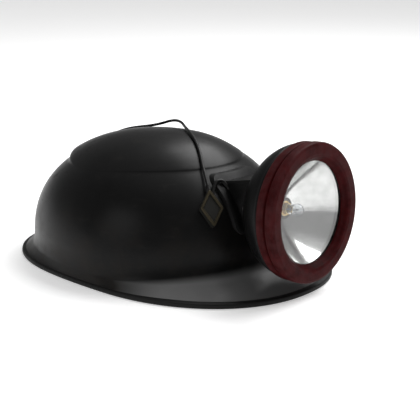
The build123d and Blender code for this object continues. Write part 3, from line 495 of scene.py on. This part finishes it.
def black_rubber(name, tone, rough, grain=700):
    """Matt rubber with a fine grain and pale bloom along its edges."""
    f = Finish(name, rough=rough, Specular_IOR_Level=0.2)
    bloom = f.span(f.noise(60, 6, 0.65), 0.45, 0.75)
    worn = f.maths("MAXIMUM", f.maths("MULTIPLY", bloom, 0.35), f.maths("MULTIPLY", f.edges(), 0.5))
    f.colour(f.mix(worn, (tone, tone, tone), (tone * 3.6, tone * 3.4, tone * 3.2)))
    f.rough(f.span(bloom, 0, 1, rough, rough + 0.14))
    f.bump((f.noise(grain, 4), 0.00012, 0.45))
    return f.material


def moulded(name, dark, light, rough, gloss=0.2):
    """Moulded plastic of one family of tones: grain, handling marks, and paler worn edges."""
    f = Finish(name, rough=rough, Specular_IOR_Level=gloss)
    marks = f.noise(70, 6, 0.65)
    scratches = f.span(f.noise(240, 5, 0.7, (0.25, 1, 1), 0.4), 0.62, 0.72)
    base = f.mix(f.span(marks, 0.3, 0.7), dark, light)
    pale = tuple(min(1.0, c * 3 + 0.008) for c in light)
    worn = f.maths("MAXIMUM", f.maths("MULTIPLY", f.edges(), 0.55), f.maths("MULTIPLY", scratches, 0.2))
    f.colour(f.mix(worn, base, pale))
    f.rough(f.span(marks, 0.25, 0.75, rough - 0.06, rough + 0.1))
    f.bump((f.noise(1100, 3), 0.00008, 0.5))
    return f.material


def bezel_red():
    """Maroon painted ring: mottled, chipped and rubbed to a dusty pink along its lip."""
    f = Finish("bezel_red", rough=0.5, Specular_IOR_Level=0.03)
    mottle = f.noise(85, 8, 0.68)
    speck = f.noise(420, 5, 0.7)
    base = f.mix(f.span(mottle, 0.34, 0.68), (0.02, 0.0014, 0.0016), (0.05, 0.0042, 0.0046))
    base = f.mix(f.span(speck, 0.56, 0.68, 0, 0.6), base, (0.012, 0.004, 0.004))
    rub = f.maths("MULTIPLY", f.edges(0.51, 0.56), f.span(f.noise(130, 6), 0.3, 0.6))
    rub = f.maths("MAXIMUM", f.maths("MULTIPLY", rub, 0.4), f.span(speck, 0.32, 0.24, 0.0, 0.2))
    f.colour(f.mix(rub, base, (0.085, 0.032, 0.034)))
    f.rough(f.span(mottle, 0.3, 0.7, 0.38, 0.6))
    f.bump((mottle, 0.0004, 0.3), (speck, 0.00015, 0.4))
    return f.material


def metal(name, dark, light, rough):
    """Worn metal: two tones, dulled patches and paler edges."""
    f = Finish(name, rough=rough, Metallic=1.0)
    tarnish = f.noise(120, 6, 0.65)
    fine = f.noise(300, 5, 0.7)
    base = f.mix(f.span(tarnish, 0.32, 0.68), light, dark)
    f.colour(f.mix(f.maths("MULTIPLY", f.edges(), 0.5), base, tuple(min(1, c * 1.7) for c in light)))
    f.rough(f.span(tarnish, 0.3, 0.7, rough - 0.06, rough + 0.14))
    f.bump((fine, 0.00008, 0.35))
    return f.material


def reflector_chrome():
    """Silvered dish: nearly a mirror, with light haze and a faint unevenness."""
    f = Finish("reflector_chrome", rough=0.1, Metallic=1.0)
    haze = f.noise(70, 5, 0.6)
    f.colour(f.mix(f.span(haze, 0.35, 0.7), (0.64, 0.65, 0.64), (0.5, 0.51, 0.5)))
    f.rough(f.span(haze, 0.3, 0.75, 0.09, 0.2))
    f.bump((f.noise(260, 3), 0.0001, 0.12))
    return f.material


def clear(name, rough, tint=(1, 1, 1)):
    """Clear glass that casts no shadow, with a little dust in its gloss."""
    f = Finish(name, tint, rough, Transmission_Weight=1.0, IOR=1.45)
    dust = f.span(f.noise(160, 6, 0.7), 0.48, 0.8)
    f.colour(f.mix(dust, tint, tuple(c * 0.9 for c in tint)))
    f.rough(f.span(dust, 0, 1, rough, rough + 0.05))
    f.bump((f.noise(30, 2), 0.0001, 0.04))
    shader_out = f.shader.outputs[0]
    see = f.node("ShaderNodeBsdfTransparent")
    path = f.node("ShaderNodeLightPath")
    blend = f.node("ShaderNodeMixShader")
    f.links.new(path.outputs["Is Shadow Ray"], blend.inputs[0])
    f.links.new(shader_out, blend.inputs[1])
    f.links.new(see.outputs[0], blend.inputs[2])
    output = next(n for n in f.nodes if n.type == "OUTPUT_MATERIAL")
    f.links.new(blend.outputs[0], output.inputs["Surface"])
    return f.material


def leather():
    """Brown sweatband leather with pores, creases and smoother patches."""
    f = Finish("sweat_leather", rough=0.6)
    pores = f.cells(900)
    crease = f.noise(60, 7, 0.65, (1, 1, 2.5), 0.5)
    base = f.mix(f.span(crease, 0.3, 0.7), (0.11, 0.055, 0.026), (0.2, 0.11, 0.056))
    f.colour(f.mix(f.span(pores, 0.0, 0.35, 0.5, 0.0), base, (0.06, 0.03, 0.015)))
    f.rough(f.span(crease, 0.3, 0.7, 0.48, 0.72))
    f.bump((crease, 0.0005, 0.35), (pores, 0.0002, 0.5))
    return f.material


def foam_cloth(name, dark, light):
    """Knitted cover over foam: a fine mesh with slight fuzz."""
    f = Finish(name, rough=0.92, Sheen_Weight=0.35, Sheen_Roughness=0.5)
    knit = f.cells(950)
    wear = f.noise(50, 6, 0.6)
    base = f.mix(f.span(wear, 0.3, 0.7), dark, light)
    f.colour(f.mix(f.span(knit, 0.1, 0.45), tuple(c * 0.4 for c in dark), base))
    f.rough(f.span(wear, 0.3, 0.7, 0.85, 1.0))
    f.bump((knit, 0.0004, 0.7), (wear, 0.0006, 0.2))
    return f.material


def webbing_cloth():
    """Woven strap: bands of two thread directions, and patches of soil."""
    f = Finish("webbing", rough=0.88, Sheen_Weight=0.25, Sheen_Roughness=0.5)
    warp = f.maths("MAXIMUM", f.waves(260, "X", 1.2), f.waves(260, "Y", 1.2))
    weft = f.waves(330, "DIAGONAL", 0.8)
    weave = f.maths("MULTIPLY", warp, weft)
    soil = f.noise(45, 6, 0.6)
    base = f.mix(f.span(soil, 0.3, 0.7), (0.05, 0.048, 0.042), (0.1, 0.095, 0.082))
    f.colour(f.mix(f.span(weave, 0.1, 0.7), (0.02, 0.019, 0.017), base))
    f.rough(f.span(soil, 0.3, 0.7, 0.8, 0.96))
    f.bump((weave, 0.0004, 0.6))
    return f.material


finishes = {
    "shell_plastic": shell_plastic(),
    "edge_rubber": black_rubber("edge_rubber", 0.005, 0.5),
    "bezel_red": bezel_red(),
    "lens": clear("lens", 0.0),
    "seal_rubber": black_rubber("seal_rubber", 0.01, 0.6),
    "reflector_chrome": reflector_chrome(),
    "bulb_glass": clear("bulb_glass", 0.0, (0.96, 0.98, 1.0)),
    "brass": metal("brass", (0.3, 0.19, 0.07), (0.62, 0.44, 0.18), 0.3),
    "tungsten": metal("tungsten", (0.16, 0.16, 0.17), (0.3, 0.3, 0.31), 0.4),
    "holder_plastic": moulded("holder_plastic", (0.018, 0.017, 0.016), (0.035, 0.033, 0.03), 0.45),
    "housing_plastic": moulded("housing_plastic", (0.0025, 0.0025, 0.0026), (0.0045, 0.0045, 0.0046),
                               0.36, 0.1),
    "steel": metal("steel", (0.11, 0.105, 0.1), (0.27, 0.265, 0.255), 0.36),
    "bracket_plastic": moulded("bracket_plastic", (0.003, 0.003, 0.0031), (0.0052, 0.0052, 0.0052),
                               0.4, 0.08),
    "terminal_metal": metal("terminal_metal", (0.018, 0.015, 0.0095), (0.045, 0.038, 0.025), 0.45),
    "terminal_dark": moulded("terminal_dark", (0.003, 0.0029, 0.0026), (0.006, 0.0058, 0.005),
                             0.45, 0.08),
    "cord_rubber": black_rubber("cord_rubber", 0.0045, 0.42, 1200),
    "band_plastic": moulded("band_plastic", (0.03, 0.03, 0.03), (0.055, 0.054, 0.052), 0.48),
    "sweat_leather": leather(),
    "webbing": webbing_cloth(),
    "pad_foam": foam_cloth("pad_foam", (0.03, 0.03, 0.032), (0.06, 0.06, 0.062)),
}


def dress_nodes():
    """Gives every CAD node the finish of its material slot."""
    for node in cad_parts:
        piece = bpy.data.objects[node]
        for place in piece.material_slots:
            name = place.material.name.split(".")[0] if place.material else ""
            slot_name = next((s for s in finishes if name.endswith(s)), None)
            if slot_name:
                place.material = finishes[slot_name]


dress_nodes()


def finish_piece(piece, slot_name, body, *nodes):
    """Gives a new piece its material, its body, and the CAD nodes that it stands for."""
    piece.data.materials.clear()
    piece.data.materials.append(finishes[slot_name])
    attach(piece, body)
    if nodes:
        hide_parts(*nodes)


finish_piece(shell, "shell_plastic", "cap", "shell")
finish_piece(trim, "edge_rubber", "cap", "brim_trim")
finish_piece(cord, "cord_rubber", "cap", "cord_tube", "cord_coil")


# ---- soft goods: sweatband, nape pad, crown pad and webbing ----
HARNESS_Y = 20.0
BAND_LOW, BAND_HIGH = 9.0, 37.0
STITCH_SIDES = 6


def dip(value, at, width):
    """1 at a sewn line and 0 away from it."""
    return math.exp(-((value - at) / width) ** 2)


def padded_band(name, centre, semi, turns, thick, low, high, seams):
    """A sewn pad bent round an ellipse: flat outside, crowned inside, drawn in at its seams."""
    steps, around = 120, 22
    rings = []
    for i in range(steps + 1):
        share = i / steps
        turn = math.radians(turns[0] + (turns[1] - turns[0]) * share)
        out = Vector((math.cos(turn) / semi[0], math.sin(turn) / semi[1])).normalized()
        place = Vector((semi[0] * math.cos(turn), centre + semi[1] * math.sin(turn)))
        full = min(1.0, 0.25 + 6 * min(share, 1 - share)) * (1 + 0.05 * math.sin(share * 61))
        narrow = 1.4 * (1 - min(1.0, 14 * min(share, 1 - share))) ** 2
        ring = [(place.x, place.y, z) for z in (low + narrow, (low + high) / 2, high - narrow)]
        for j in range(around + 1):
            w = 1 - j / around
            depth = thick * full * (1 - abs(2 * w - 1) ** 5) ** 0.5
            depth *= 1 - sum(0.38 * dip(w, seam, 0.035) for seam in seams)
            depth += 0.12 * math.sin(turn * 90) * dip(w, seams[0], 0.08)
            p = place - out * max(0.4, depth)
            ring.append((p.x, p.y, low + narrow + (high - low - 2 * narrow) * w))
        rings.append(ring)
    vertices, faces = skin(rings, close_ends=True)
    pad = add_mesh(name, vertices, faces)
    outward(pad)
    modify(pad, "SUBSURF", levels=1, render_levels=1)
    return pad


def stitch_rows(name, rows, radius=0.34, length=2.4):
    """Thread: a short rounded stitch at each (place, direction) of the rows."""
    vertices, faces = [], []
    profile = ((-0.5, 0.45), (-0.4, 0.85), (0.0, 1.0), (0.4, 0.85), (0.5, 0.45))
    for place, along in rows:
        along = along.normalized()
        side = along.orthogonal().normalized()
        up = along.cross(side)
        first = len(vertices)
        for share, wide in profile:
            for k in range(STITCH_SIDES):
                a = 2 * math.pi / STITCH_SIDES * k
                out = side * math.cos(a) + up * math.sin(a)
                vertices.append(tuple(place + along * (share * length) + out * (radius * wide)))
        for i in range(len(profile) - 1):
            low = first + STITCH_SIDES * i
            high = low + STITCH_SIDES
            for k in range(STITCH_SIDES):
                m = (k + 1) % STITCH_SIDES
                faces.append((low + k, low + m, high + m, high + k))
        faces.append(tuple(first + k for k in reversed(range(STITCH_SIDES))))
        faces.append(tuple(high + k for k in range(STITCH_SIDES)))
    return add_mesh(name, vertices, faces)


def band_row(centre, semi, turns, inset, z, pitch=3.6):
    """Stitch places along an ellipse, set in from it."""
    span = math.radians(turns[1] - turns[0])
    count = int(span * sum(semi) / 2 / pitch)
    rows = []
    for i in range(1, count):
        turn = math.radians(turns[0]) + span * i / count
        out = Vector((math.cos(turn) / semi[0], math.sin(turn) / semi[1], 0)).normalized()
        place = Vector((semi[0] * math.cos(turn), centre + semi[1] * math.sin(turn), z)) - out * inset
        rows.append((place, Vector((-semi[0] * math.sin(turn), semi[1] * math.cos(turn), 0))))
    return rows


# each band's centre along Y, its half widths, and the angles that it runs between
SWEAT = (HARNESS_Y, (77.7, 96.7), (-164.5, -15.5))
NAPE = (58.0, (75.3, 59.7), (43.0, 137.0))


def make_sweatband():
    """Leather forehead pad with a row of stitches along each edge."""
    band = padded_band("sweat_pad", *SWEAT, 3.6, BAND_LOW, BAND_HIGH, (0.16, 0.84))
    finish_piece(band, "sweat_leather", "cap", "sweatband")
    rows = band_row(*SWEAT, 2.1, 13.5) + band_row(*SWEAT, 2.1, 32.5)
    finish_piece(stitch_rows("sweat_stitches", rows), "webbing", "cap")


def make_nape_pad():
    """Foam pad at the nape, sewn along its middle; it moves with the nape band."""
    pad = padded_band("nape_cushion", *NAPE, 5.2, 9.5, 36.5, (0.5, 0.14, 0.86))
    finish_piece(pad, "pad_foam", "nape", "nape_pad")
    finish_piece(stitch_rows("nape_stitches", band_row(*NAPE, 3.25, 23.0)), "webbing", "nape")


PAD_R, PAD_TOP, PAD_SAG, PAD_THICK, CHANNELS = 28.0, 83.5, 4.0, 6.6, 8


def make_crown_pad():
    """Quilted disc: a crowned top, a fuller underside, radial channels and a pinched rim."""
    count = 96
    shares = [i / 18 for i in range(1, 18)] + [0.975, 1.0]
    rings = []

    def ring(share, lower):
        places = []
        for k in range(count):
            turn = 2 * math.pi * k / count
            sewn = max(0.0, math.cos(CHANNELS * turn)) ** 10 * smooth(0.12, 0.3, share)
            r = PAD_R * share * (1 - 0.022 * sewn * share)
            body = (1 - share ** 6) ** 0.5 * (1 - 0.5 * sewn) * (1 - 0.55 * dip(share, 0.0, 0.12))
            top = PAD_TOP - PAD_SAG * share ** 2 - 0.35 * sewn
            z = top - (0.7 + PAD_THICK * body) if lower else top - 0.9 * share ** 8
            places.append((r * math.cos(turn), HARNESS_Y + r * math.sin(turn), z))
        return places

    for share in shares:
        rings.append(ring(share, False))
    for share in reversed(shares):
        rings.append(ring(share, True))
    vertices, faces = skin(rings)
    last = (len(rings) - 1) * count
    vertices += [(0, HARNESS_Y, PAD_TOP), (0, HARNESS_Y, PAD_TOP - 0.7 - PAD_THICK * 0.45)]
    for k in range(count):
        m = (k + 1) % count
        faces += [(len(vertices) - 2, m, k), (len(vertices) - 1, last + k, last + m)]
    pad = add_mesh("crown_cushion", vertices, faces)
    outward(pad)
    modify(pad, "SUBSURF", levels=1, render_levels=1)
    finish_piece(pad, "pad_foam", "cap", "crown_pad")


STRAP_THICK, STRAP_FOOT, STRAP_END = 1.6, 44.0, 41.0


def strap_path(ends, reach, top):
    """Middle line of a strap as (along, height, outward direction) from one foot to the other."""
    line = []
    for side, end in ((-1, ends[0]), (1, ends[1])):
        length = abs(end - reach)
        half = [(end, STRAP_END, (side, 0.0)), (end, (STRAP_END + STRAP_FOOT) / 2, (side, 0.0))]
        for i in range(31):
            a = math.pi / 2 * i / 30
            along, high = math.cos(a), math.sin(a)
            normal = Vector((side * along / length, high / (top - STRAP_FOOT))).normalized()
            place = (reach + side * length * along, STRAP_FOOT + (top - STRAP_FOOT) * high)
            half.append((*place, tuple(normal)))
        line += half if side < 0 else list(reversed(half))[1:]
    return line


def make_strap(name, node, ends, reach, top, across):
    """Woven strap: thin in the middle, with a rounded selvedge down each side."""
    widths = [-10, -9.7, -9.0, -8.0, -5, 0, 5, 8.0, 9.0, 9.7, 10]
    heavy = [0.25, 0.7, 0.8, 0.62, 0.56, 0.55, 0.56, 0.62, 0.8, 0.7, 0.25]
    rings = []
    for along, z, (n_along, n_up) in strap_path(ends, reach, top):
        ring = []
        for sign in (1, -1):
            order = list(zip(widths, heavy))
            for wide, thick in (order if sign > 0 else order[::-1]):
                lift = STRAP_THICK / 2 + sign * thick
                a, up = along + n_along * lift, z + n_up * lift
                ring.append((wide, a, up) if across == "X" else (a, HARNESS_Y + wide, up))
        rings.append(ring)
    vertices, faces = skin(rings, close_ends=True)
    strap = add_mesh(name, vertices, faces)
    outward(strap)
    finish_piece(strap, "webbing", "cap", node)


make_sweatband()
make_nape_pad()
make_crown_pad()
make_strap("strap_front_back", "strap_long", (-79.4, 123.0), HARNESS_Y, 84.0, "X")
make_strap("strap_side_side", "strap_cross", (-80.4, 80.4), 0.0, 86.4, "Y")


# ---- floor and lights ----
FLOOR_STEPS = 48
# the floor's rings, as radius and height: level, then sweeping up far away
FLOOR = [(12000, 0), (14000, 0), (16000, 150), (18000, 500), (19500, 1100), (20000, 1700)]


def make_floor():
    """A pale floor that gives out some light, so that it reads as white behind the object."""
    f = Finish("floor", (0.86, 0.86, 0.86), 0.75, Emission_Color=(1, 1, 1, 1), Emission_Strength=0.38)
    haze = f.noise(2.0, 2)
    f.colour(f.mix(haze, (0.87, 0.87, 0.87), (0.9, 0.9, 0.9)))
    turns = [2 * math.pi * i / FLOOR_STEPS for i in range(FLOOR_STEPS)]
    rings = [[(r * math.cos(t), r * math.sin(t), z) for t in turns] for r, z in reversed(FLOOR)]
    vertices, faces = skin(rings)
    faces.append(tuple(range(len(vertices) - FLOOR_STEPS, len(vertices))))
    floor = add_mesh("floor", vertices, faces)
    floor.data.materials.append(f.material)


def softbox(name, azimuth, elevation, distance, width, height, power):
    """A rectangular light aimed at the target; distance and size in metres, power in watts."""
    data = bpy.data.lights.new(name, "AREA")
    data.shape, data.size, data.size_y = "RECTANGLE", width, height
    data.energy = power
    light = bpy.data.objects.new(name, data)
    bpy.context.collection.objects.link(light)
    towards = direction(azimuth, elevation)
    light.location = CAMERA_TARGET + towards * distance
    light.rotation_mode = "QUATERNION"
    light.rotation_quaternion = (-towards).to_track_quat("-Z", "Y")


make_floor()
softbox("key", 82, 55, 1.6, 1.6, 0.9, 29)
softbox("fill", -98, 26, 1.8, 0.9, 0.9, 4)


def make_world():
    """A dim room under a wide bright ceiling that leans to the picture's right."""
    world = bpy.data.worlds.new("studio")
    world.use_nodes = True
    nodes, links = world.node_tree.nodes, world.node_tree.links
    place = nodes.new("ShaderNodeTexCoord")
    lean = nodes.new("ShaderNodeVectorMath")
    lean.operation = "DOT_PRODUCT"
    lean.inputs[1].default_value = direction(88, 70)
    ceiling = nodes.new("ShaderNodeMapRange")
    ceiling.interpolation_type = "SMOOTHSTEP"
    for i, number in enumerate((0.6, 0.97, 0.2, 0.75)):
        ceiling.inputs[i + 1].default_value = number
    links.new(place.outputs["Generated"], lean.inputs[0])
    links.new(lean.outputs["Value"], ceiling.inputs[0])
    links.new(ceiling.outputs[0], nodes["Background"].inputs["Strength"])
    nodes["Background"].inputs["Color"].default_value = (1, 1, 1, 1)
    bpy.context.scene.world = world


make_world()
bpy.context.scene.view_settings.view_transform = "Standard"

bpy.context.view_layer.update()
